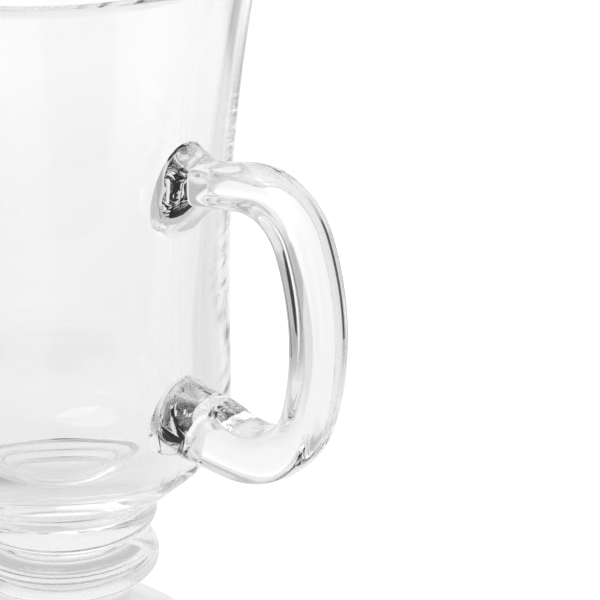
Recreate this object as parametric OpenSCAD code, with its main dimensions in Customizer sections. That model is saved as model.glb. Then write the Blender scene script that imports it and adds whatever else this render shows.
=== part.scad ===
// Stemmed glass mug for Irish coffee: a flared bowl on a ringed stem and a
// domed foot, with one loop handle welded to the bowl at two filleted pads.
// Millimetres, +Z up, origin at the centre of the foot's resting plane,
// handle towards +X.

/* [Bowl] */
// Outer diameter of the rim
rim_d = 78; // [72:0.5:88]
// Height of the bowl from the collar to the rim
bowl_h = 107.7; // [100:0.2:130]
// Outer diameter of the straight lower part of the bowl
waist_d = 65.8; // [60:0.2:69]
// Height above the collar at which the bowl starts to flare
flare_start = 42.6; // [36:0.2:55]
// Wall thickness at the rim
rim_wall = 3.2; // [2.4:0.1:4.2]
// Wall thickness at the foot of the bowl's straight part
waist_wall = 5.2; // [4.2:0.1:6.4]
// Radius of the rounded corner under the bowl
bottom_r = 16; // [12:0.5:18]
// Slope of the bowl's underside down to the collar, in degrees
under_slope = 42; // [38:1:46]
// Radius of the rounding inside the bottom of the bowl
inside_r = 18; // [14:0.5:20]
// Thickness of the floor above the collar
floor_t = 6; // [3.5:0.1:7]

/* [Stem] */
// Diameter of the collar ring under the bowl
collar_d = 37; // [34:0.2:42]
// Height of the collar ring
collar_h = 5.9; // [5:0.1:8]
// Rounding of the collar's lower edge
collar_r = 3.2; // [2:0.1:4]
// Diameter of the groove between the collar and the knop
groove_d = 26.6; // [24:0.2:29]
// Height of the groove
groove_h = 2.3; // [1.6:0.1:4]
// How much wider the round knop is than the collar
knop_extra = 0.3; // [-2:0.1:4]
// Rounding of the knop's upper edge
knop_top_r = 4.6; // [3:0.1:5]
// Rounding of the knop's lower edge
knop_low_r = 3.1; // [2:0.1:5]
// Diameter of the neck under the knop
neck_d = 26; // [22:0.2:28]
// Height of the neck
neck_h = 8.4; // [6:0.1:14]
// Fillets where the stem's rings meet its neck
stem_fillet = 0.7; // [0.2:0.1:0.8]

/* [Foot] */
// Diameter of the foot
foot_d = 62; // [58:0.5:68]
// Height of the foot's dome where the neck stands on it
foot_h = 15; // [12:0.5:18]
// Rounding of the foot's edge
foot_edge_r = 1.8; // [1:0.1:2.4]
// Width of the flat ring that stands on the table
stand_w = 4; // [2:0.2:8]
// Depth of the hollow under the foot
hollow_h = 2.4; // [1:0.1:4]

/* [Handle] */
// Height of the upper arm's middle above the collar, at the bowl's waist radius
upper_z = 71.1; // [66:0.5:80]
// Rise of the upper arm away from the bowl, in degrees
upper_rise = 10.3; // [4:0.1:14]
// Height of the lower arm's middle above the collar, at the bowl's waist radius
lower_z = 25.9; // [22:0.1:30]
// Fall of the lower arm away from the bowl, in degrees
lower_fall = 7.7; // [2:0.1:12]
// Distance from the bowl's axis to the middle of the grip
reach = 65.8; // [62:0.2:72]
// Height above the collar at which the grip stands out most
grip_z = 49.1; // [46:0.5:52]
// Radius of the grip's gentle bow
grip_bow = 48; // [44:1:70]
// Radius of the upper bend
upper_bend = 12.2; // [10:0.2:15]
// Radius of the lower bend
lower_bend = 15.4; // [13:0.2:18]
// Width of the handle across the mug
handle_w = 9.2; // [8:0.2:12]
// Thickness of the handle at the upper pad
upper_t = 6.8; // [6:0.1:9]
// Thickness of the handle at the top of the grip
grip_top_t = 8.3; // [7:0.1:10]
// Thickness of the handle at the bottom of the grip
grip_low_t = 7.6; // [6.5:0.1:10]
// Thickness of the handle at the lower pad
lower_t = 13.2; // [10:0.1:14]
// Slant of the joint between the lower arm and its pad, in degrees
lower_slant = 26; // [0:1:32]
// How square the handle's section is on its outer side: 2 is an oval, higher is squarer
squareness = 5; // [2:0.1:7]
// How square the handle's section is on its inner side, where the fingers lie
inner_squareness = 3.5; // [2:0.1:7]
// Draft of the handle's inner and outer faces away from the mould's parting line, in degrees
handle_draft = 4; // [0:0.5:8]
// How much the handle narrows towards its outer face, as a share of half its width
handle_taper = 0.12; // [0:0.02:0.2]

/* [Pads] */
// Distance that each pad stands out from the wall along the arm
pad_l = 5.2; // [4:0.1:7]
// Width of the upper pad at the bowl, without its fillet
upper_pad_w = 13.6; // [10:0.2:16]
// Height of the upper pad at the bowl, without its fillet
upper_pad_h = 17.2; // [12:0.2:19]
// Width of the lower pad at the bowl, without its fillet
lower_pad_w = 14.8; // [11:0.2:17]
// Height of the lower pad at the bowl, without its fillet
lower_pad_h = 14; // [11:0.2:16]
// Radius of the fillet between a pad and the wall
pad_fillet = 1; // [0.8:0.1:2.4]
// How square a pad's section is at the wall
pad_square = 2.3; // [2:0.1:4]
// How much the pads narrow towards their top, as a share of half their width
pad_taper = 0.25; // [0:0.05:0.4]
// How far the upper pad leans in towards the handle's loop at the wall
pad_lean = 1.1; // [0:0.1:1.5]

/* [Hidden] */
glass = [0.93, 0.96, 0.96, 0.4];
round_steps = 10;
arc_steps = 24;
ring_points = 32;
handle_rings = 44;
pad_rings = 10;
pad_root = 3;
pad_sink = 0.15;

knop_d = collar_d + knop_extra;

// Heights, stacked up from the table
knop_low_z = foot_h + neck_h;
knop_top_z = knop_low_z + knop_low_r + knop_top_r;
collar_low_z = knop_top_z + groove_h;
collar_top_z = collar_low_z + collar_h;
rim_z = collar_top_z + bowl_h;

// Bowl wall: a straight cylinder, then one arc that flares to the rim
waist_r = waist_d / 2;
flare_z = collar_top_z + flare_start;
lip_r = rim_wall / 2;
flare_h = rim_z - lip_r - flare_z;
flare_out = rim_d / 2 - waist_r;
flare_a = 2 * atan(flare_out / flare_h);
flare_mid_r = flare_h / sin(flare_a);
flare_c = [waist_r - lip_r + flare_mid_r, flare_z];
lip_c = flare_c + flare_mid_r * [-cos(flare_a), sin(flare_a)];
under_turn = 90 - under_slope;
under_r = waist_r - bottom_r * (1 - cos(under_turn));
corner_z = collar_top_z + bottom_r * sin(under_turn) + (under_r - collar_d / 2) * tan(under_slope);
floor_z = collar_top_z + floor_t;

// Inside of the bowl: a rounded bottom, then one long arc that runs into the lip
inside_wall_r = waist_r - waist_wall;
inside_c = [inside_wall_r - inside_r, floor_z + inside_r];
inside_out = lip_c[0] - inside_wall_r;
inside_h = lip_c[1] - inside_c[1];
inside_arc_r = (pow(inside_out, 2) + pow(inside_h, 2) - pow(lip_r, 2)) / (inside_out - lip_r) / 2;
inside_a = asin(inside_h / (inside_arc_r - lip_r));

// Points of an arc about c, from angle a0 to a1
function arc(c, r, a0, a1, n) =
    [for (i = [0 : n]) let (a = a0 + (a1 - a0) * i / n) c + r * [cos(a), sin(a)]];

function bowl_outside() = concat(
    [[collar_d / 2, collar_top_z]],
    arc([waist_r - bottom_r, corner_z], bottom_r, -under_turn, 0, round_steps),
    arc(flare_c, flare_mid_r - lip_r, 180, 180 - flare_a, arc_steps)
);

function bowl_lip() = arc(lip_c, lip_r, -flare_a, 180 - inside_a, round_steps);

function bowl_inside() = concat(
    arc([inside_wall_r + inside_arc_r, inside_c[1]], inside_arc_r, 180 - inside_a, 180, arc_steps),
    arc(inside_c, inside_r, 0, -90, round_steps)
);

module bowl_filled() {
    rotate_extrude($fn = 128)
        polygon(concat([[0, collar_top_z]], bowl_outside(), [[0, rim_z]]));
}

module bowl() {
    color(glass)
        rotate_extrude($fn = 128)
            polygon(concat(
                [[0, collar_top_z]],
                bowl_outside(),
                bowl_lip(),
                bowl_inside(),
                [[0, floor_z]]
            ));
}

// Thick disc of glass between the bowl and the knop
module collar_ring() {
    edge_c = [collar_d / 2 - collar_r, collar_low_z + collar_r];
    color(glass)
        rotate_extrude($fn = 128)
            polygon(concat(
                [[0, collar_low_z]],
                arc(edge_c, collar_r, -90, 0, round_steps),
                [[collar_d / 2, collar_top_z], [0, collar_top_z]]
            ));
}

// Neck, knop and the short groove above it, in one gather of glass
module knopped_stem() {
    knop_z = knop_low_z + knop_low_r;
    low_c = [knop_d / 2 - knop_low_r, knop_z];
    top_c = [knop_d / 2 - knop_top_r, knop_z];
    low_x = neck_d / 2 + stem_fillet;
    top_x = groove_d / 2 + stem_fillet;
    low_a = acos(max(0, low_x - low_c[0]) / (knop_low_r + stem_fillet));
    top_a = acos(max(0, top_x - top_c[0]) / (knop_top_r + stem_fillet));
    low_fillet_c = [low_x, knop_z - (knop_low_r + stem_fillet) * sin(low_a)];
    top_fillet_c = [top_x, knop_z + (knop_top_r + stem_fillet) * sin(top_a)];
    color(glass)
        rotate_extrude($fn = 128)
            polygon(concat(
                [[0, foot_h], [neck_d / 2, foot_h]],
                arc(low_fillet_c, stem_fillet, 180, 180 - low_a, round_steps),
                arc(low_c, knop_low_r, -low_a, 0, round_steps),
                arc(top_c, knop_top_r, 0, top_a, round_steps),
                arc(top_fillet_c, stem_fillet, 180 + top_a, 180, round_steps),
                arc([top_x, collar_low_z - stem_fillet], stem_fillet, 180, 90, round_steps),
                [[0, collar_low_z]]
            ));
}

// Domed foot with a rounded edge and a shallow hollow underneath.
// The dome passes through the neck's edge and touches the rounding of the foot's edge.
module foot() {
    edge_x = foot_d / 2 - foot_edge_r;
    neck_r = neck_d / 2;
    lift = foot_h - foot_edge_r;
    gain = pow(neck_r, 2) + pow(foot_h, 2) - pow(edge_x, 2);
    square_a = pow(lift, 2) - pow(foot_edge_r, 2);
    half_b = gain * lift / 2 - pow(foot_edge_r, 2) * foot_h;
    rest_c = pow(gain, 2) / 4 - pow(foot_edge_r, 2) * (pow(neck_r, 2) + pow(foot_h, 2));
    dome_z = (half_b - sqrt(pow(half_b, 2) - square_a * rest_c)) / square_a;
    dome_r = norm([neck_r, foot_h - dome_z]);
    hollow_r = edge_x - stand_w;
    hollow_ball = (pow(hollow_r, 2) + pow(hollow_h, 2)) / (2 * hollow_h);
    hollow_c = [0, hollow_h - hollow_ball];
    hollow_a = asin(hollow_r / hollow_ball);
    meet_a = atan2(foot_edge_r - dome_z, edge_x);
    neck_a = acos(neck_r / dome_r);
    color(glass)
        rotate_extrude($fn = 128)
            polygon(concat(
                arc(hollow_c, hollow_ball, 90, 90 - hollow_a, round_steps),
                arc([edge_x, foot_edge_r], foot_edge_r, -90, meet_a, round_steps),
                arc([0, dome_z], dome_r, meet_a, neck_a, arc_steps),
                [[0, foot_h]]
            ));
}

// Handle's middle line in the XZ plane: arm, bend, bowed grip, bend, arm
upper_root = [waist_r, collar_top_z + upper_z];
lower_root = [waist_r, collar_top_z + lower_z];
grip_c = [reach - grip_bow, collar_top_z + grip_z];
upper_dir = [cos(upper_rise), sin(upper_rise)];
lower_dir = [cos(lower_fall), -sin(lower_fall)];

// Centre of a bend of radius r that touches the line from root along dir and the grip's arc
function bend_centre(root, dir, side, r) =
    let (
        start = root + r * side * [-dir[1], dir[0]],
        to = start - grip_c,
        half = to * dir,
        rest = to * to - pow(grip_bow - r, 2)
    )
    start + (sqrt(half * half - rest) - half) * dir;

upper_c = bend_centre(upper_root, upper_dir, -1, upper_bend);
lower_c = bend_centre(lower_root, lower_dir, 1, lower_bend);
upper_grip_a = atan2(upper_c[1] - grip_c[1], upper_c[0] - grip_c[0]);
lower_grip_a = atan2(lower_c[1] - grip_c[1], lower_c[0] - grip_c[0]);
upper_arm_l = (upper_c - upper_root) * upper_dir;
lower_arm_l = (lower_c - lower_root) * lower_dir;
upper_bend_a = 90 + upper_rise - upper_grip_a;
lower_bend_a = 90 + lower_fall + lower_grip_a;
upper_bend_l = upper_bend * upper_bend_a * PI / 180;
grip_l = grip_bow * (upper_grip_a - lower_grip_a) * PI / 180;
lower_bend_l = lower_bend * lower_bend_a * PI / 180;
grip_start_l = upper_arm_l + upper_bend_l;
grip_end_l = grip_start_l + grip_l;
lower_start_l = grip_end_l + lower_bend_l;
path_l = lower_start_l + lower_arm_l;

// Point and outward side of the middle line at distance l from the upper root
function on_arc(c, r, a) = [c + r * [cos(a), sin(a)], [cos(a), sin(a)]];
function on_path(l) =
    l < upper_arm_l ? [upper_root + l * upper_dir, [-upper_dir[1], upper_dir[0]]] :
    l < grip_start_l ? on_arc(upper_c, upper_bend, 90 + upper_rise - (l - upper_arm_l) / upper_bend * 180 / PI) :
    l < grip_end_l ? on_arc(grip_c, grip_bow, upper_grip_a - (l - grip_start_l) / grip_bow * 180 / PI) :
    l < lower_start_l ? on_arc(lower_c, lower_bend, lower_grip_a - (l - grip_end_l) / lower_bend * 180 / PI) :
    [lower_root + (path_l - l) * lower_dir, [lower_dir[1], -lower_dir[0]]];

// Thickness eases from one station of the handle to the next
function ease(x) = x * x * (3 - 2 * x);
function between(a, b, l, l0, l1) = a + (b - a) * ease(max(0, min(1, (l - l0) / (l1 - l0))));
function thickness(l) =
    l < grip_start_l ? between(upper_t, grip_top_t, l, 0, grip_start_l) :
    l < grip_end_l ? between(grip_top_t, grip_low_t, l, grip_start_l, grip_end_l) :
    between(grip_low_t, lower_t, l, grip_end_l, path_l);

// Closed section of width w and height h, squared off by power p outside and inner_p inside
function power(v, p) = sign(v) * pow(abs(v), 2 / p);
function section(w, h, p, inner_p) =
    [for (i = [0 : ring_points - 1])
        let (a = 360 * i / ring_points, s = sin(a) > 0 ? p : inner_p)
            [w / 2 * power(cos(a), s), h / 2 * power(sin(a), s)]];

// A section with a share of the mould's shape: its faces rise to the parting line, and it narrows outwards
function moulded(outline, w, h, share) =
    [for (q = outline)
        let (v = q[1] * (1 + share * tan(handle_draft) * (w - abs(2 * q[0])) / h))
            [q[0] * (1 - share * handle_taper * 2 * v / h), v]];

// A section set square to the path: width along Y, height along the outward side
function placed(at, outline) =
    [for (q = outline) [at[0][0] + q[1] * at[1][0], q[0], at[0][1] + q[1] * at[1][1]]];

// Solid through a list of rings, closed at both ends
module loft(rings) {
    n = len(rings[0]);
    last = len(rings) - 1;
    sides = [
        for (k = [0 : last - 1]) for (i = [0 : n - 1])
            let (a = k * n + i, b = k * n + (i + 1) % n)
                [[a, a + n, b + n], [a, b + n, b]]
    ];
    faces = concat(
        [for (pair = sides) for (face = pair) face],
        [[for (i = [0 : n - 1]) i], [for (i = [n - 1 : -1 : 0]) last * n + i]]
    );
    polyhedron(points = [for (ring = rings) for (point = ring) point], faces = faces);
}

// The outer wall's radius and its upward direction at a height
flare_way = sign(flare_mid_r);
function wall_r(z) =
    z < corner_z ? waist_r - bottom_r + sqrt(pow(bottom_r, 2) - pow(corner_z - z, 2)) :
    z < flare_z ? waist_r :
    flare_c[0] - flare_way * sqrt(pow(flare_mid_r - lip_r, 2) - pow(z - flare_z, 2));
function wall_up(z) = z < flare_z ? [0, 1] : unit(flare_way * [z - flare_z, flare_c[0] - wall_r(z)]);
function unit(v) = v / norm(v);

// Distance along the handle from the upper root to each joint with a pad
upper_wall_l = (wall_r(upper_root[1]) - waist_r) / upper_dir[0];
lower_wall_l = (wall_r(lower_root[1]) - waist_r) / lower_dir[0];
upper_joint_l = upper_wall_l + pad_l;
lower_joint_l = path_l - lower_wall_l - pad_l;

// Point and side of the middle line, with the side tilted along the lower arm up to the slanted joint
function slant(l) = tan(lower_slant) * ease(max(0, min(1, (l - lower_start_l) / (lower_joint_l - lower_start_l))));
function slanted(l) = let (at = on_path(l), side = at[1]) [at[0], side + slant(l) * [side[1], -side[0]]];

module handle() {
    color(glass)
        loft([
            for (i = [0 : handle_rings])
                let (l = upper_joint_l + (lower_joint_l - upper_joint_l) * i / handle_rings, t = thickness(l))
                    placed(slanted(l), moulded(section(handle_w, t, squareness, inner_squareness), handle_w, t, 1))
        ]);
}

// How far a fillet stands out sideways at a distance from its end
function skirt(gap) = pad_fillet - sqrt(pow(pad_fillet, 2) - pow(max(0, pad_fillet - gap), 2));

// A ring moved towards the wall by as much as the wall curves away from its plane at height z
function bent_to_wall(ring, share, z) =
    let (up = wall_up(z), slope = up[0] / up[1])
        [for (q = ring)
            let (flat_x = wall_r(z) + (q[2] - z) * slope, true_x = sqrt(pow(wall_r(q[2]), 2) - pow(q[1], 2)))
                [q[0] - share * (flat_x - true_x), q[1], q[2]]];

// One pad: the handle's own section at the joint, which spreads into a filleted shield on the wall
module pad(joint_l, way, pad_w, pad_h, lean) {
    joint_t = thickness(joint_l);
    reach_l = pad_l + pad_sink;
    arm_side = slanted(joint_l)[1];
    wall_z = on_path(joint_l + way * pad_l)[0][1];
    wall_side = -way * wall_up(wall_z);
    color(glass)
        difference() {
            loft([
                for (i = [0 : pad_rings + 1])
                    let (
                        out = sin(90 * min(i, pad_rings) / pad_rings),
                        at = on_path(joint_l + way * (reach_l * out + (i > pad_rings ? pad_root : 0))),
                        side = (1 - out) * arm_side + out * wall_side,
                        fillet = 2 * skirt(reach_l * (1 - out)),
                        w = handle_w + (pad_w - handle_w) * out + fillet,
                        h = joint_t + (pad_h - joint_t) * out + fillet,
                        p = squareness + (pad_square - squareness) * out,
                        inner_p = inner_squareness + (pad_square - inner_squareness) * out,
                        shield = [
                            for (q = moulded(section(way * w, h, p, inner_p), w, h, 1 - out))
                                [q[0] * (1 + way * pad_taper * out * q[1] / (h / 2)), q[1]]
                        ]
                    )
                        bent_to_wall(placed([at[0] - lean * out * side, side], shield), out, wall_z)
            ]);
            bowl_filled();
        }
}

module upper_handle_pad() { pad(upper_joint_l, -1, upper_pad_w, upper_pad_h, pad_lean); }

module lower_handle_pad() { pad(lower_joint_l, 1, lower_pad_w, lower_pad_h, 0); }

bowl();
collar_ring();
knopped_stem();
foot();
handle();
upper_handle_pad();
lower_handle_pad();
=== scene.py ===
import math

import bmesh
import bpy
from mathutils import Matrix, Vector


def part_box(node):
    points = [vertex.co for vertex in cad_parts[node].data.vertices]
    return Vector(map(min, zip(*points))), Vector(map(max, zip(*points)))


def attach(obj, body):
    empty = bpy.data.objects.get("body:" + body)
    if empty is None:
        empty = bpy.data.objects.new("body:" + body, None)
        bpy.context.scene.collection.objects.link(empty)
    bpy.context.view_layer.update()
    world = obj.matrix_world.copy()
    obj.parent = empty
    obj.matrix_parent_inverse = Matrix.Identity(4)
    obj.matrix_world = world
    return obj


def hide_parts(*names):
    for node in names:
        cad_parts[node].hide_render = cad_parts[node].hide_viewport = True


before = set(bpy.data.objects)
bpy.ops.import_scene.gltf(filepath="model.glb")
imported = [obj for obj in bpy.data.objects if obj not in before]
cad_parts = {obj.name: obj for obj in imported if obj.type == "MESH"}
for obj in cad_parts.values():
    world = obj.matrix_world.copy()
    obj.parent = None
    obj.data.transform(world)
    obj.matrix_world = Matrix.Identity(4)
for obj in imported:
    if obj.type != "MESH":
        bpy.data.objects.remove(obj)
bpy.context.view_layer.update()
scene = bpy.context.scene
scene.view_settings.view_transform = "Standard"
mm = 0.001  # sizes are in millimetres up to the studio, and the scene is in metres

# Light runs along inside thick glass for many reflections before it comes out
insideGlass = {"reflections": 40}
scene.cycles.max_bounces = insideGlass["reflections"]
scene.cycles.glossy_bounces = insideGlass["reflections"]
scene.cycles.transmission_bounces = insideGlass["reflections"]

# Camera: a long lens that looks down on the mug from the front right
photoCamera = {
    "place": (363.9, -342.9, 280.2),
    "turn": (68.01, 0.0, 41.42),  # degrees
    "lens": 171.59,
    "sensor": 36.0,
}


def setCamera():
    lens = bpy.data.cameras.new("photoCamera")
    lens.lens = photoCamera["lens"]
    lens.sensor_width = photoCamera["sensor"]
    camera = bpy.data.objects.new("photoCamera", lens)
    camera.location = Vector(photoCamera["place"]) * mm
    camera.rotation_euler = [math.radians(a) for a in photoCamera["turn"]]
    scene.collection.objects.link(camera)
    scene.camera = camera


setCamera()
print("camera set")


# A colour code, as screens show it, turned into amounts of light
def linear(code):
    parts = [int(code[i:i + 2], 16) / 255 for i in (0, 2, 4)]
    return [c / 12.92 if c <= 0.04045 else ((c + 0.055) / 1.055) ** 2.4 for c in parts] + [1.0]


# An input that is given a node is linked to that node's first output
def addNode(tree, kind, inputs=None, **settings):
    node = tree.nodes.new(kind)
    for name, value in settings.items():
        setattr(node, name, value)
    for name, value in (inputs or {}).items():
        source = value.outputs[0] if isinstance(value, bpy.types.Node) else value
        if isinstance(source, bpy.types.NodeSocket):
            tree.links.new(source, node.inputs[name])
        else:
            node.inputs[name].default_value = source
    return node


def newMaterial(name):
    material = bpy.data.materials.new(name)
    material.use_nodes = True
    material.node_tree.nodes.clear()
    return material, material.node_tree


# Pressed soda-lime glass: clear and colourless, with faint slow waves and the seam of the mould's halves
pressedGlass = {
    "colour": "FCFCFC",
    "ior": 1.52,
    "waveSize": 11.0,
    "waveHeight": 0.002,
    "seamWidth": 0.7,
    "seamHeight": 0.015,
    "seamFacing": (0.1, 0.3),  # cosines to the way out from the axis
}


# Height of the seam: a low ridge in the handle's plane, on faces that look away from the axis
def mouldSeam(tree, place):
    across = addNode(tree, "ShaderNodeSeparateXYZ", {0: place}).outputs["Y"]
    offPlane = addNode(tree, "ShaderNodeMath", {0: across}, operation="ABSOLUTE")
    ridge = addNode(
        tree, "ShaderNodeMapRange",
        {"Value": offPlane, "From Min": pressedGlass["seamWidth"] / 2 * mm, "From Max": 0.0},
        interpolation_type="SMOOTHSTEP",
    )
    level = addNode(tree, "ShaderNodeVectorMath", {0: place, 1: (1, 1, 0)}, operation="MULTIPLY")
    outward = addNode(tree, "ShaderNodeVectorMath", {0: level}, operation="NORMALIZE")
    normal = addNode(tree, "ShaderNodeNewGeometry").outputs["True Normal"]
    facing = addNode(tree, "ShaderNodeVectorMath", {0: outward, 1: normal}, operation="DOT_PRODUCT")
    start, full = pressedGlass["seamFacing"]
    turnedOut = addNode(
        tree, "ShaderNodeMapRange",
        {"Value": facing.outputs["Value"], "From Min": start, "From Max": full},
        interpolation_type="SMOOTHSTEP",
    )
    return addNode(tree, "ShaderNodeMath", {0: ridge, 1: turnedOut}, operation="MULTIPLY")


def makePressedGlass():
    material, tree = newMaterial("pressedSodaLimeGlass")
    place = addNode(tree, "ShaderNodeTexCoord").outputs["Object"]
    waves = addNode(
        tree, "ShaderNodeTexNoise",
        {"Vector": place, "Scale": 1 / (pressedGlass["waveSize"] * mm), "Detail": 1.0},
    )
    waved = addNode(
        tree, "ShaderNodeBump",
        {"Height": waves, "Strength": 1.0, "Distance": pressedGlass["waveHeight"] * mm},
    )
    bump = addNode(
        tree, "ShaderNodeBump",
        {
            "Height": mouldSeam(tree, place),
            "Strength": 1.0,
            "Distance": pressedGlass["seamHeight"] * mm,
            "Normal": waved,
        },
    )
    glass = addNode(
        tree, "ShaderNodeBsdfPrincipled",
        {
            "Base Color": linear(pressedGlass["colour"]),
            "Roughness": 0.0,
            "IOR": pressedGlass["ior"],
            "Transmission Weight": 1.0,
            "Normal": bump,
        },
    )
    addNode(tree, "ShaderNodeOutputMaterial", {"Surface": glass})
    return material


# Fused weld: the glass runs on through it, so light passes without a bend
def makeFusedWeld():
    material, tree = newMaterial("fusedWeld")
    clear = addNode(tree, "ShaderNodeBsdfTransparent")
    addNode(tree, "ShaderNodeOutputMaterial", {"Surface": clear})
    return material


finishes = [makePressedGlass(), makeFusedWeld()]
glassSlot, weldSlot = 0, 1
print("glass made")


def nodeSpan(node):
    low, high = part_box(node)
    return low / mm, high / mm


def arcPoints(centre, radius, start, end, steps):
    turns = [math.radians(start + (end - start) * i / steps) for i in range(steps + 1)]
    return [(centre[0] + radius * math.cos(a), centre[1] + radius * math.sin(a)) for a in turns]


def newPiece(name, bm):
    mesh = bpy.data.meshes.new(name)
    bm.to_mesh(mesh)
    bm.free()
    for finish in finishes:
        mesh.materials.append(finish)
    piece = bpy.data.objects.new(name, mesh)
    scene.collection.objects.link(piece)
    return piece


def polish(piece, sharpAbove=35):
    piece.data.shade_smooth()
    piece.data.set_sharp_from_angle(angle=math.radians(sharpAbove))


def dress(piece, node):
    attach(piece, "root")
    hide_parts(node)


# Turning: sectors double this often into a full turn, and lengths are in millimetres
turning = {"doublings": 4, "sameSpot": 0.0005, "flatness": 0.9999, "levelReach": 0.01}


# A body turned about the mug's axis, from radii and heights: one sector is spun, then doubled up
def turnBody(outline, steps, weldHeights=()):
    bm = bmesh.new()
    spots = [bm.verts.new((r * mm, 0, z * mm)) for r, z in outline]
    edges = [bm.edges.new(pair) for pair in zip(spots, spots[1:])]
    sectors = 2 ** turning["doublings"]
    turned = math.tau / sectors
    bmesh.ops.spin(
        bm, geom=spots + edges, cent=(0, 0, 0), axis=(0, 0, 1), angle=turned, steps=steps // sectors
    )
    for _ in range(turning["doublings"]):
        copied = bmesh.ops.duplicate(bm, geom=bm.verts[:] + bm.edges[:] + bm.faces[:])["geom"]
        corners = [part for part in copied if isinstance(part, bmesh.types.BMVert)]
        bmesh.ops.rotate(bm, verts=corners, cent=(0, 0, 0), matrix=Matrix.Rotation(turned, 3, "Z"))
        turned *= 2
    bmesh.ops.remove_doubles(bm, verts=bm.verts, dist=turning["sameSpot"] * mm)
    bmesh.ops.recalc_face_normals(bm, faces=bm.faces)
    for face in bm.faces:
        flat = abs(face.normal.z) > turning["flatness"]
        level = face.calc_center_median().z / mm
        welded = flat and any(abs(level - z) < turning["levelReach"] for z in weldHeights)
        face.material_index = weldSlot if welded else glassSlot
    return bm


# Bowl: a straight waist that flares to a round fire-polished rim, over a thick rounded bottom
bowlShape = {
    "waist": 32.9,
    "rimWall": 3.2,
    "waistWall": 5.2,
    "flareStart": 42.6,
    "bottomRound": 16.0,
    "underSlope": 42.0,
    "insideRound": 18.0,
    "floor": 6.0,
    "turns": 304,
    "cornerSteps": 24,
    "waistSteps": 20,
    "flareSteps": 80,
    "lipSteps": 24,
    "insideSteps": 110,
    "floorSteps": 32,
}
bowlLow, bowlHigh = nodeSpan("bowl")
collarLow, collarHigh = nodeSpan("collar_ring")


def flareArc():
    waist, wall = bowlShape["waist"], bowlShape["rimWall"]
    start = bowlLow.z + bowlShape["flareStart"]
    rise = bowlHigh.z - wall / 2 - start
    lean = 2 * math.atan((bowlHigh.x - waist) / rise)
    radius = rise / math.sin(lean)
    return (waist - wall / 2 + radius, start), radius, math.degrees(lean)


def bowlCorner():
    corner = bowlShape["bottomRound"]
    turn = 90 - bowlShape["underSlope"]
    underEnd = bowlShape["waist"] - corner * (1 - math.cos(math.radians(turn)))
    underRise = (underEnd - collarHigh.x) * math.tan(math.radians(bowlShape["underSlope"]))
    return turn, bowlLow.z + corner * math.sin(math.radians(turn)) + underRise


def bowlOutside(inset=0.0):
    waist, corner = bowlShape["waist"], bowlShape["bottomRound"]
    turn, cornerHeight = bowlCorner()
    centre, radius, lean = flareArc()
    flare = radius - bowlShape["rimWall"] / 2 + inset
    steps = bowlShape["waistSteps"]
    rise = centre[1] - cornerHeight
    straight = [(waist - inset, cornerHeight + rise * i / steps) for i in range(1, steps)]
    return (
        arcPoints((waist - corner, cornerHeight), corner - inset, -turn, 0, bowlShape["cornerSteps"])
        + straight
        + arcPoints(centre, flare, 180, 180 - lean, bowlShape["flareSteps"])
    )


def bowlOutline():
    lipRound, inner = bowlShape["rimWall"] / 2, bowlShape["insideRound"]
    centre, radius, lean = flareArc()
    angle = math.radians(lean)
    lip = (centre[0] - radius * math.cos(angle), centre[1] + radius * math.sin(angle))
    floorHeight = bowlLow.z + bowlShape["floor"]
    innerWall = bowlShape["waist"] - bowlShape["waistWall"]
    out, rise = lip[0] - innerWall, lip[1] - floorHeight - inner
    insideRadius = (out ** 2 + rise ** 2 - lipRound ** 2) / (out - lipRound) / 2
    insideCentre = (innerWall + insideRadius, floorHeight + inner)
    insideLean = math.degrees(math.asin(rise / (insideRadius - lipRound)))
    return (
        [(0, bowlLow.z), (collarHigh.x, bowlLow.z)]
        + bowlOutside()
        + arcPoints(lip, lipRound, -lean, 180 - insideLean, bowlShape["lipSteps"])[1:-1]
        + arcPoints(insideCentre, insideRadius, 180 - insideLean, 180, bowlShape["insideSteps"])
        + arcPoints((innerWall - inner, floorHeight + inner), inner, 0, -90, bowlShape["floorSteps"])[1:]
        + [(0, floorHeight)]
    )


bowl = newPiece("glassBowl", turnBody(bowlOutline(), bowlShape["turns"], [bowlLow.z]))
print("bowl turned")


# Collar: the thick ring of glass under the bowl
collarShape = {"round": 3.2, "turns": 256, "roundSteps": 24}


def collarOutline():
    edge, radius = collarShape["round"], collarHigh.x
    return (
        [(0, collarLow.z)]
        + arcPoints((radius - edge, collarLow.z + edge), edge, -90, 0, collarShape["roundSteps"])
        + [(radius, collarHigh.z), (0, collarHigh.z)]
    )


collarWelds = [collarLow.z, collarHigh.z]
collar = newPiece("glassCollar", turnBody(collarOutline(), collarShape["turns"], collarWelds))
print("collar turned")


# Stem: a neck, a round knop and the groove above it
stemShape = {
    "neck": 13.0,
    "groove": 13.3,
    "neckHeight": 8.4,
    "topRound": 4.6,
    "lowRound": 3.1,
    "fillet": 0.7,
    "turns": 256,
    "filletSteps": 10,
    "lowSteps": 20,
    "topSteps": 24,
}
stemLow, stemHigh = nodeSpan("knopped_stem")


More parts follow.
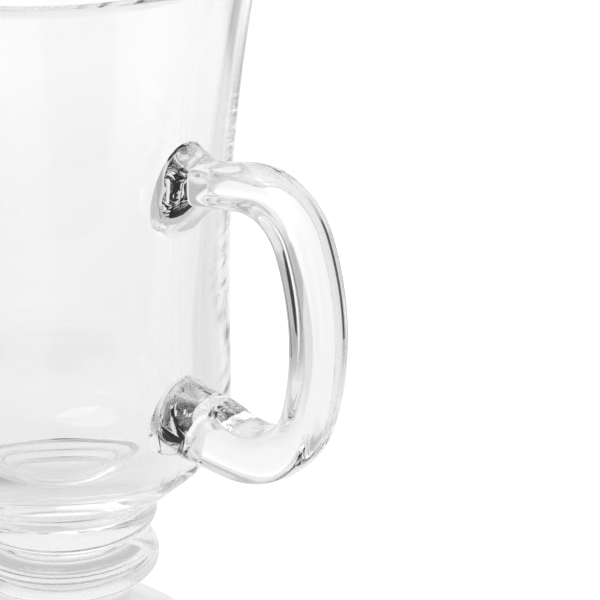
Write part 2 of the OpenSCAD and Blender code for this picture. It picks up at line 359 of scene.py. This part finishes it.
def stemOutline():
    fillet, low, top = stemShape["fillet"], stemShape["lowRound"], stemShape["topRound"]
    middle = stemLow.z + stemShape["neckHeight"] + low
    lowCentre = (stemHigh.x - low, middle)
    topCentre = (stemHigh.x - top, middle)
    neckFillet = stemShape["neck"] + fillet
    grooveFillet = stemShape["groove"] + fillet
    lowTurn = math.degrees(math.acos(max(0, neckFillet - lowCentre[0]) / (low + fillet)))
    topTurn = math.degrees(math.acos(max(0, grooveFillet - topCentre[0]) / (top + fillet)))
    lowFillet = (neckFillet, middle - (low + fillet) * math.sin(math.radians(lowTurn)))
    topFillet = (grooveFillet, middle + (top + fillet) * math.sin(math.radians(topTurn)))
    return (
        [(0, stemLow.z), (stemShape["neck"], stemLow.z)]
        + arcPoints(lowFillet, fillet, 180, 180 - lowTurn, stemShape["filletSteps"])
        + arcPoints(lowCentre, low, -lowTurn, 0, stemShape["lowSteps"])[1:]
        + arcPoints(topCentre, top, 0, topTurn, stemShape["topSteps"])[1:]
        + arcPoints(topFillet, fillet, 180 + topTurn, 180, stemShape["filletSteps"])[1:]
        + arcPoints((grooveFillet, stemHigh.z - fillet), fillet, 180, 90, stemShape["filletSteps"])
        + [(0, stemHigh.z)]
    )


stem = newPiece("glassStem", turnBody(stemOutline(), stemShape["turns"], [stemLow.z, stemHigh.z]))
print("stem turned")


# Foot: a shallow hollow under a dome that meets the neck and runs into the rounded edge
footShape = {
    "edge": 1.8,
    "stand": 4.0,
    "hollow": 2.4,
    "turns": 256,
    "hollowSteps": 24,
    "edgeSteps": 24,
    "domeSteps": 40,
}
footHigh = nodeSpan("foot")[1]


def footOutline():
    edge, hollow, neckRadius, top = footShape["edge"], footShape["hollow"], stemShape["neck"], footHigh.z
    rimRadius = footHigh.x - edge
    gain = neckRadius ** 2 + top ** 2 - rimRadius ** 2
    halfB = gain * (top - edge) / 2 - edge ** 2 * top
    squareA = (top - edge) ** 2 - edge ** 2
    restC = gain ** 2 / 4 - edge ** 2 * (neckRadius ** 2 + top ** 2)
    domeCentre = (halfB - math.sqrt(halfB ** 2 - squareA * restC)) / squareA
    dome = math.hypot(neckRadius, top - domeCentre)
    hollowRadius = rimRadius - footShape["stand"]
    ball = (hollowRadius ** 2 + hollow ** 2) / (2 * hollow)
    meet = math.degrees(math.atan2(edge - domeCentre, rimRadius))
    neck = math.degrees(math.acos(neckRadius / dome))
    hollowEnd = 90 - math.degrees(math.asin(hollowRadius / ball))
    return (
        arcPoints((0, hollow - ball), ball, 90, hollowEnd, footShape["hollowSteps"])
        + arcPoints((rimRadius, edge), edge, -90, meet, footShape["edgeSteps"])
        + arcPoints((0, domeCentre), dome, meet, neck, footShape["domeSteps"])[1:]
        + [(0, footHigh.z)]
    )


foot = newPiece("glassFoot", turnBody(footOutline(), footShape["turns"], [footHigh.z]))
print("foot turned")


# Handle: a pressed loop, squarish in section, that runs arm, bend, bowed grip, bend, arm
handleShape = {
    "upperHeight": 71.1,
    "upperRise": 10.3,
    "lowerHeight": 25.9,
    "lowerFall": 7.7,
    "lowerSlant": 26.0,
    "reach": 65.8,
    "gripHeight": 49.1,
    "gripBow": 48.0,
    "upperBend": 12.2,
    "lowerBend": 15.4,
    "width": 9.2,
    "upperThick": 6.8,
    "gripTopThick": 8.3,
    "gripLowThick": 7.6,
    "lowerThick": 13.2,
    "squareness": 5.0,
    "innerSquareness": 3.5,
    "draft": 4.0,  # degrees, of the inner and outer faces away from the mould's parting line
    "taper": 0.12,
    "rings": 220,
    "ringPoints": 128,
}
padShape = {
    "length": 5.2,
    "upperWidth": 13.6,
    "upperHeight": 17.2,
    "lowerWidth": 14.8,
    "lowerHeight": 14.0,
    "fillet": 1.0,
    "sink": 0.15,
    "square": 2.3,
    "taper": 0.25,
    "lean": 1.1,
    "root": 3.0,
    "weldDepth": 0.02,
    "rings": 40,
}


def alongAngle(angle):
    return Vector((math.cos(math.radians(angle)), math.sin(math.radians(angle))))


def bendCentre(root, way, side, radius, gripCentre):
    start = root + radius * side * Vector((-way.y, way.x))
    gap = start - gripCentre
    half = gap.dot(way)
    rest = gap.length_squared - (handleShape["gripBow"] - radius) ** 2
    return start + (math.sqrt(half * half - rest) - half) * way


# The handle's middle line as stretches, each with its length and a function of the distance along it
def handlePath():
    h = handleShape
    waist = bowlShape["waist"]
    upperRoot = Vector((waist, bowlLow.z + h["upperHeight"]))
    lowerRoot = Vector((waist, bowlLow.z + h["lowerHeight"]))
    gripCentre = Vector((h["reach"] - h["gripBow"], bowlLow.z + h["gripHeight"]))
    upperWay = alongAngle(h["upperRise"])
    lowerWay = alongAngle(-h["lowerFall"])
    upperCentre = bendCentre(upperRoot, upperWay, -1, h["upperBend"], gripCentre)
    lowerCentre = bendCentre(lowerRoot, lowerWay, 1, h["lowerBend"], gripCentre)
    upperGrip = math.degrees(math.atan2(*(upperCentre - gripCentre).yx))
    lowerGrip = math.degrees(math.atan2(*(lowerCentre - gripCentre).yx))
    upperArm = (upperCentre - upperRoot).dot(upperWay)
    lowerArm = (lowerCentre - lowerRoot).dot(lowerWay)

    def bent(centre, radius, start, end):
        def at(d):
            side = alongAngle(start - math.degrees(d / radius))
            return centre + radius * side, side
        return radius * math.radians(start - end), at

    def upperStraight(d):
        return upperRoot + d * upperWay, Vector((-upperWay.y, upperWay.x))

    def lowerStraight(d):
        return lowerRoot + (lowerArm - d) * lowerWay, Vector((lowerWay.y, -lowerWay.x))

    return [
        (upperArm, upperStraight),
        bent(upperCentre, h["upperBend"], 90 + h["upperRise"], upperGrip),
        bent(gripCentre, h["gripBow"], upperGrip, lowerGrip),
        bent(lowerCentre, h["lowerBend"], lowerGrip, -90 - h["lowerFall"]),
        (lowerArm, lowerStraight),
    ]


stretches = handlePath()
pathLength = sum(length for length, _ in stretches)
gripStart = stretches[0][0] + stretches[1][0]
gripEnd = gripStart + stretches[2][0]
lowerArmStart = gripEnd + stretches[3][0]


def onPath(distance):
    left = distance
    for length, at in stretches[:-1]:
        if left < length:
            return at(left)
        left -= length
    return stretches[-1][1](left)


def eased(a, b, d, start, end):
    t = max(0.0, min(1.0, (d - start) / (end - start)))
    return a + (b - a) * t * t * (3 - 2 * t)


def handleThickness(d):
    h = handleShape
    if d < gripStart:
        return eased(h["upperThick"], h["gripTopThick"], d, 0, gripStart)
    if d < gripEnd:
        return eased(h["gripTopThick"], h["gripLowThick"], d, gripStart, gripEnd)
    return eased(h["gripLowThick"], h["lowerThick"], d, gripEnd, pathLength)


# A squared oval of width and height, as points at even angles, with a power for each half
def squaredOval(width, height, outerPower, innerPower):
    points = []
    for i in range(handleShape["ringPoints"]):
        a = math.tau * i / handleShape["ringPoints"]
        c, s = math.cos(a), math.sin(a)
        power = outerPower if s > 0 else innerPower
        r = (abs(2 * c / width) ** power + abs(2 * s / height) ** power) ** (-1 / power)
        points.append((r * c, r * s))
    return points


# A section with a share of the mould's shape: its faces rise to the parting line, and it narrows outwards
def moulded(outline, width, height, share):
    draft, taper = math.tan(math.radians(handleShape["draft"])), handleShape["taper"]
    shaped = []
    for u, v in outline:
        raised = v * (1 + share * draft * (width - abs(2 * u)) / height)
        shaped.append((u * (1 - share * taper * 2 * raised / height), raised))
    return shaped


# A section set square to the path: width along Y, height along the outward side
def placed(centre, side, outline):
    return [Vector((centre.x + v * side.x, u, centre.y + v * side.y)) * mm for u, v in outline]


# Lofting: lengths in millimetres within which spots are the same, and a cap lies at the first ring
lofting = {"sameSpot": 0.0001, "endReach": 0.001}


# A closed body drawn through rings: a grid bent round on itself, with a weld at each end that asks for one
def loftBody(rings, weldEnds):
    around, along = len(rings[0]), len(rings) - 1
    bm = bmesh.new()
    bmesh.ops.create_grid(bm, x_segments=around, y_segments=along, size=1)
    for vert in bm.verts:
        i = round((vert.co.x + 1) / 2 * around) % around
        k = round((vert.co.y + 1) / 2 * along)
        vert.co = rings[k][i]
    bmesh.ops.remove_doubles(bm, verts=bm.verts, dist=lofting["sameSpot"] * mm)
    first = Vector(rings[0][0])
    openEdges = [edge for edge in bm.edges if edge.is_boundary]
    for cap in bmesh.ops.edgeloop_fill(bm, edges=openEdges)["faces"]:
        atFirst = min((vert.co - first).length for vert in cap.verts) < lofting["endReach"] * mm
        cap.material_index = weldSlot if weldEnds[0 if atFirst else 1] else glassSlot
    bmesh.ops.recalc_face_normals(bm, faces=bm.faces)
    return bm


def wallRadius(z):
    centre, radius, _ = flareArc()
    corner, cornerHeight = bowlShape["bottomRound"], bowlCorner()[1]
    if z < cornerHeight:
        return bowlShape["waist"] - corner + math.sqrt(corner ** 2 - (cornerHeight - z) ** 2)
    if z < centre[1]:
        return bowlShape["waist"]
    return centre[0] - math.sqrt((radius - bowlShape["rimWall"] / 2) ** 2 - (z - centre[1]) ** 2)


def wallUp(z):
    centre, _, _ = flareArc()
    if z <= centre[1]:
        return Vector((0, 1))
    return Vector((z - centre[1], centre[0] - wallRadius(z))).normalized()


def jointDistances():
    upper = wallRadius(bowlLow.z + handleShape["upperHeight"]) - bowlShape["waist"]
    rise = math.radians(handleShape["upperRise"])
    return upper / math.cos(rise) + padShape["length"], pathLength - padShape["length"]


upperJoint, lowerJoint = jointDistances()


# The path's point and side, with the side tilted along the lower arm up to its slanted joint
def slanted(d):
    point, side = onPath(d)
    tilt = math.tan(math.radians(handleShape["lowerSlant"])) * eased(0, 1, d, lowerArmStart, lowerJoint)
    return point, side + tilt * Vector((side.y, -side.x))


def handleRings():
    rings = []
    for i in range(handleShape["rings"] + 1):
        d = upperJoint + (lowerJoint - upperJoint) * i / handleShape["rings"]
        width, thick = handleShape["width"], handleThickness(d)
        oval = squaredOval(width, thick, handleShape["squareness"], handleShape["innerSquareness"])
        outline = moulded(oval, width, thick, 1)
        rings.append(placed(*slanted(d), outline))
    return rings


handle = newPiece("glassHandle", loftBody(handleRings(), (True, True)))
print("handle lofted")


def filletWidth(gap, radius):
    return radius - math.sqrt(radius ** 2 - max(0.0, radius - gap) ** 2)


# A ring moved towards the wall by as much as the wall curves away from its plane at a height
def bentToWall(ring, share, height):
    up = wallUp(height)
    bent = []
    for point in ring:
        z = point.z / mm
        flatPlace = wallRadius(height) + (z - height) * up.x / up.y
        truePlace = math.sqrt(wallRadius(z) ** 2 - (point.y / mm) ** 2)
        bent.append(point - Vector((share * (flatPlace - truePlace) * mm, 0, 0)))
    return bent


# Pads: where each arm was pressed on hot, its section spreads into a filleted shield on the wall
def padRings(joint, way, padWidth, padHeight, lean):
    thick = handleThickness(joint)
    reach = padShape["length"] + padShape["sink"]
    armSide = slanted(joint)[1]
    wallHeight = onPath(joint + way * padShape["length"])[0].y
    wallSide = -way * wallUp(wallHeight)
    squares = handleShape["squareness"], handleShape["innerSquareness"]
    rings = []
    for i in range(padShape["rings"] + 2):
        out = math.sin(math.pi / 2 * min(1.0, i / padShape["rings"]))
        beyond = padShape["root"] if i > padShape["rings"] else 0.0
        centre = onPath(joint + way * (reach * out + beyond))[0]
        side = (1 - out) * armSide + out * wallSide
        skirt = 2 * filletWidth(reach * (1 - out), padShape["fillet"])
        width = handleShape["width"] + (padWidth - handleShape["width"]) * out + skirt
        height = thick + (padHeight - thick) * out + skirt
        powers = [square + (padShape["square"] - square) * out for square in squares]
        oval = moulded(squaredOval(width, height, *powers), width, height, 1 - out)
        narrow = way * padShape["taper"] * out * 2 / height
        shield = [(u * (1 + narrow * v), v) for u, v in oval]
        rings.append(bentToWall(placed(centre - lean * out * side, side, shield), out, wallHeight))
    return rings


def cutAway(piece, cutter):
    carve = piece.modifiers.new("weldFace", "BOOLEAN")
    carve.operation = "DIFFERENCE"
    carve.solver = "MANIFOLD"
    carve.object = cutter
    graph = bpy.context.evaluated_depsgraph_get()
    rough = piece.data
    piece.data = bpy.data.meshes.new_from_object(piece.evaluated_get(graph))
    piece.modifiers.clear()
    bpy.data.meshes.remove(rough)


def makePad(name, joint, way, padWidth, padHeight, lean):
    pad = newPiece(name, loftBody(padRings(joint, way, padWidth, padHeight, lean), (True, False)))
    cutAway(pad, core)
    cutAway(bowl, pad)
    return pad


def makeCore():
    inside = bowlOutside(padShape["weldDepth"])
    filled = turnBody([(0, inside[0][1])] + inside + [(0, inside[-1][1])], bowlShape["turns"])
    for face in filled.faces:
        face.material_index = weldSlot
    return newPiece("bowlCore", filled)


core = makeCore()
upperPad = makePad(
    "upperPad", upperJoint, -1, padShape["upperWidth"], padShape["upperHeight"], padShape["lean"]
)
lowerPad = makePad("lowerPad", lowerJoint, 1, padShape["lowerWidth"], padShape["lowerHeight"], 0)
bpy.data.objects.remove(core)
print("pads welded on")

for piece, node in (
    (bowl, "bowl"),
    (collar, "collar_ring"),
    (stem, "knopped_stem"),
    (foot, "foot"),
    (handle, "handle"),
    (upperPad, "upper_handle_pad"),
    (lowerPad, "lower_handle_pad"),
):
    polish(piece)
    dress(piece, node)


# Studio, in metres: a white table, soft light all round, and a dark room behind the camera
studio = {
    "tableRadius": 0.55,
    "tableShift": 0.32,
    "tableWay": 130.0,  # ways are degrees from the handle's direction
    "tableCorners": 128,
    "tableColour": "CCCCCC",
    # The table's glow: it makes the table white for the camera, and glass shows it as painted light
    "backdropAndPaintedGlow": 0.6,
    "paintedGlowByDistance": ((0.1, 0.68), (0.38, 0.97)),  # each a distance from the axis and a share of the glow
    # A painted pool of light under the foot, in place of the light that the glass gathers there: where it
    # starts and is full, and its strength
    "underFoot": (0.045, 0.025),
    "paintedUnderFootGlow": 0.9,
    "heightTones": ((0.0, 0.9), (0.12, 0.84), (0.5, 0.9), (0.85, 0.85), (1.0, 0.78)),
}

# Painted pools of light on the table, that only glass shows: a reach is a pair of cosines to the way, and an
# edge is a pair of distances
paintedPools = {
    "behind": {"way": 160.0, "reach": (0.44, 0.56)},
    "beside": {"way": 30.0, "reach": (-0.6, 0.6), "edge": (0.22, 0.1)},
    "between": {"way": 88.0, "reach": (0.88, 0.97), "edge": (0.32, 0.29), "share": 0.48},
    "before": {"way": -50.0, "reach": (0.2, 0.5), "share": 0.8},
}

# Dark things in the surround: ovals, tall or flat, that fade from the second edge to the first, in degrees
darkThings = {
    "cameraAndStand": {"way": -50.0, "rise": 28.0, "tall": 1.4, "edges": (20.0, 10.0), "depth": 0.8},
    "floorBeforeTable": {"way": -66.0, "rise": -4.0, "tall": 1.0, "edges": (30.0, 21.0), "depth": 0.93},
    "blackFlag": {"way": 13.0, "rise": -4.0, "tall": 1.5, "edges": (16.0, 12.0), "depth": 0.95},
    "roomBehindCamera": {"way": -48.0, "rise": 15.0, "tall": 1.4, "edges": (80.0, 15.0), "depth": 0.42},
    "roomOverBackdrop": {"way": 135.0, "rise": 16.0, "tall": 0.35, "edges": (26.0, 12.0), "depth": 0.35},
    "roomBesideTable": {"way": 55.0, "rise": -4.0, "tall": 0.3, "edges": (60.0, 35.0), "depth": 0.35},
}
# Light that went straight through the glass meets only these two of them
seenThroughGlass = ("roomOverBackdrop", "roomBesideTable")
overheadSoftbox = {"place": (-0.3, 0.0, 0.9), "target": (0, 0, 0.07), "size": 0.5, "power": 1.0}


def wayVector(turn, rise):
    turn, rise = math.radians(turn), math.radians(rise)
    return (math.cos(turn) * math.cos(rise), math.sin(turn) * math.cos(rise), math.sin(rise))


# Gives 1 for light that went straight through the glass, with no reflection, and 0 for all other light
def straightThrough(tree, path):
    unturned = addNode(tree, "ShaderNodeMath", {0: path["Glossy Depth"], 1: 1.0}, operation="LESS_THAN")
    return addNode(
        tree, "ShaderNodeMath", {0: path["Is Transmission Ray"], 1: unturned}, operation="MULTIPLY"
    )


# How far a place on the table lies in a painted pool of light, times the pool's share
def paintedPoolAt(tree, place, distance, name):
    part = paintedPools[name]
    outward = addNode(tree, "ShaderNodeVectorMath", {0: place}, operation="NORMALIZE")
    way = wayVector(part["way"], 0)
    along = addNode(tree, "ShaderNodeVectorMath", {0: outward, 1: way}, operation="DOT_PRODUCT")
    start, full = part["reach"]
    share = part.get("share", 1.0)
    paintedAmount = addNode(
        tree, "ShaderNodeMapRange",
        {"Value": along.outputs["Value"], "From Min": start, "From Max": full, "To Max": share},
        interpolation_type="SMOOTHSTEP",
    )
    if "edge" not in part:
        return paintedAmount
    start, full = part["edge"]
    inside = addNode(
        tree, "ShaderNodeMapRange",
        {"Value": distance, "From Min": start, "From Max": full},
        interpolation_type="SMOOTHSTEP",
    )
    return addNode(tree, "ShaderNodeMath", {0: paintedAmount, 1: inside}, operation="MULTIPLY")


# The table's painted glow as glass shows it: the strongest of its painted pools of light, and a painted pool
# of light under the foot in place of the light that the glass gathers there
def paintedTableLight(tree, path):
    place = addNode(tree, "ShaderNodeTexCoord").outputs["Object"]
    distance = addNode(tree, "ShaderNodeVectorMath", {0: place}, operation="LENGTH").outputs["Value"]
    behind, beside, between, before = [paintedPoolAt(tree, place, distance, name) for name in paintedPools]
    (closeEnd, closeGlow), (farEnd, farGlow) = studio["paintedGlowByDistance"]
    # Painted glow that changes with distance from the axis
    paintedGlowFalloff = addNode(
        tree, "ShaderNodeMapRange",
        {
            "Value": distance,
            "From Min": closeEnd,
            "From Max": farEnd,
            "To Min": closeGlow,
            "To Max": farGlow,
        },
    )
    # The painted pool of light under the foot
    start, full = studio["underFoot"]
    paintedUnderFootLight = addNode(
        tree, "ShaderNodeMapRange",
        {"Value": distance, "From Min": start, "From Max": full, "To Max": studio["paintedUnderFootGlow"]},
        interpolation_type="SMOOTHSTEP",
    )
    straight = straightThrough(tree, path)
    beforeGlass = addNode(tree, "ShaderNodeMath", {0: before, 1: straight}, operation="MULTIPLY")
    paintedAmount = addNode(tree, "ShaderNodeMath", {0: behind, 1: beside}, operation="MAXIMUM")
    paintedAmount = addNode(tree, "ShaderNodeMath", {0: paintedAmount, 1: paintedGlowFalloff}, operation="MULTIPLY")
    for other in (between, paintedUnderFootLight, beforeGlass):
        paintedAmount = addNode(tree, "ShaderNodeMath", {0: paintedAmount, 1: other}, operation="MAXIMUM")
    return paintedAmount


# The table top: pale matt, with a glow that is white for the camera and painted light where glass shows it
def makeTableTop():
    material, tree = newMaterial("whiteTableTopPaintedGlow")
    matt = addNode(tree, "ShaderNodeBsdfDiffuse", {"Color": linear(studio["tableColour"])})
    path = addNode(tree, "ShaderNodeLightPath").outputs
    inGlass = addNode(
        tree, "ShaderNodeMath",
        {0: path["Is Glossy Ray"], 1: path["Is Transmission Ray"]}, operation="MAXIMUM",
    )
    # The painted light on the table that glass shows
    light = paintedTableLight(tree, path)
    shown = addNode(tree, "ShaderNodeMath", {0: inGlass, 1: light}, operation="MULTIPLY")
    seen = addNode(tree, "ShaderNodeMath", {0: path["Is Camera Ray"], 1: shown}, operation="MAXIMUM")
    strength = addNode(tree, "ShaderNodeMath", {0: seen, 1: studio["backdropAndPaintedGlow"]}, operation="MULTIPLY")
    glow = addNode(tree, "ShaderNodeEmission", {"Strength": strength})
    both = addNode(tree, "ShaderNodeAddShader", {0: matt, 1: glow})
    addNode(tree, "ShaderNodeOutputMaterial", {"Surface": both})
    return material


def makeTable():
    bm = bmesh.new()
    bmesh.ops.create_circle(bm, cap_ends=True, radius=studio["tableRadius"], segments=studio["tableCorners"])
    mesh = bpy.data.meshes.new("whiteTable")
    bm.to_mesh(mesh)
    bm.free()
    mesh.transform(Matrix.Translation(Vector(wayVector(studio["tableWay"], 0)) * studio["tableShift"]))
    mesh.materials.append(makeTableTop())
    table = bpy.data.objects.new("whiteTable", mesh)
    scene.collection.objects.link(table)


# The share of light that a dark thing leaves: it is an oval, so heights are pressed before the angle is taken
def leftBy(tree, directions, thing):
    press = Vector((1, 1, 1 / thing["tall"]))
    pressed = addNode(tree, "ShaderNodeVectorMath", {0: directions, 1: press}, operation="MULTIPLY")
    aimed = addNode(tree, "ShaderNodeVectorMath", {0: pressed}, operation="NORMALIZE")
    centre = (Vector(wayVector(thing["way"], thing["rise"])) * press).normalized()
    nearness = addNode(tree, "ShaderNodeVectorMath", {0: aimed, 1: centre}, operation="DOT_PRODUCT")
    outer, inner = [math.cos(math.radians(angle)) for angle in thing["edges"]]
    return addNode(
        tree, "ShaderNodeMapRange",
        {
            "Value": nearness.outputs["Value"],
            "From Min": outer,
            "From Max": inner,
            "To Min": 1.0,
            "To Max": 1.0 - thing["depth"],
        },
        interpolation_type="SMOOTHSTEP",
    )


# The tone of the surround by height, from the level of the table up to straight above
def heightTone(tree, directions):
    height = addNode(tree, "ShaderNodeSeparateXYZ", {0: directions}).outputs["Z"]
    ramp = addNode(tree, "ShaderNodeValToRGB", {0: height})
    stops = ramp.color_ramp.elements
    for position, tone in studio["heightTones"]:
        stop = stops.new(position)
        stop.color = (tone, tone, tone, 1)
    stops.remove(stops[0])
    stops.remove(stops[-1])
    return ramp


def makeSurround():
    world = bpy.data.worlds.new("studioSurround")
    world.use_nodes = True
    scene.world = world
    tree = world.node_tree
    tree.nodes.clear()
    directions = addNode(tree, "ShaderNodeTexCoord").outputs["Generated"]
    path = addNode(tree, "ShaderNodeLightPath").outputs
    straight = straightThrough(tree, path)
    tone = heightTone(tree, directions)
    for name, thing in darkThings.items():
        left = leftBy(tree, directions, thing)
        if name not in seenThroughGlass:
            left = addNode(tree, "ShaderNodeMath", {0: left, 1: straight}, operation="MAXIMUM")
        tone = addNode(tree, "ShaderNodeMath", {0: tone, 1: left}, operation="MULTIPLY")
    surround = addNode(tree, "ShaderNodeBackground", {"Color": tone})
    white = addNode(tree, "ShaderNodeBackground", {"Color": (1, 1, 1, 1)})
    shown = addNode(tree, "ShaderNodeMixShader", {0: path["Is Camera Ray"], 1: surround, 2: white})
    addNode(tree, "ShaderNodeOutputWorld", {"Surface": shown})


def addSoftbox():
    lamp = bpy.data.lights.new("overheadSoftbox", "AREA")
    lamp.shape = "DISK"
    lamp.size = overheadSoftbox["size"]
    lamp.energy = overheadSoftbox["power"]
    light = bpy.data.objects.new("overheadSoftbox", lamp)
    place, target = Vector(overheadSoftbox["place"]), Vector(overheadSoftbox["target"])
    light.location = place
    light.rotation_euler = (target - place).to_track_quat("-Z", "Y").to_euler()
    scene.collection.objects.link(light)


makeTable()
makeSurround()
addSoftbox()
print("studio set")
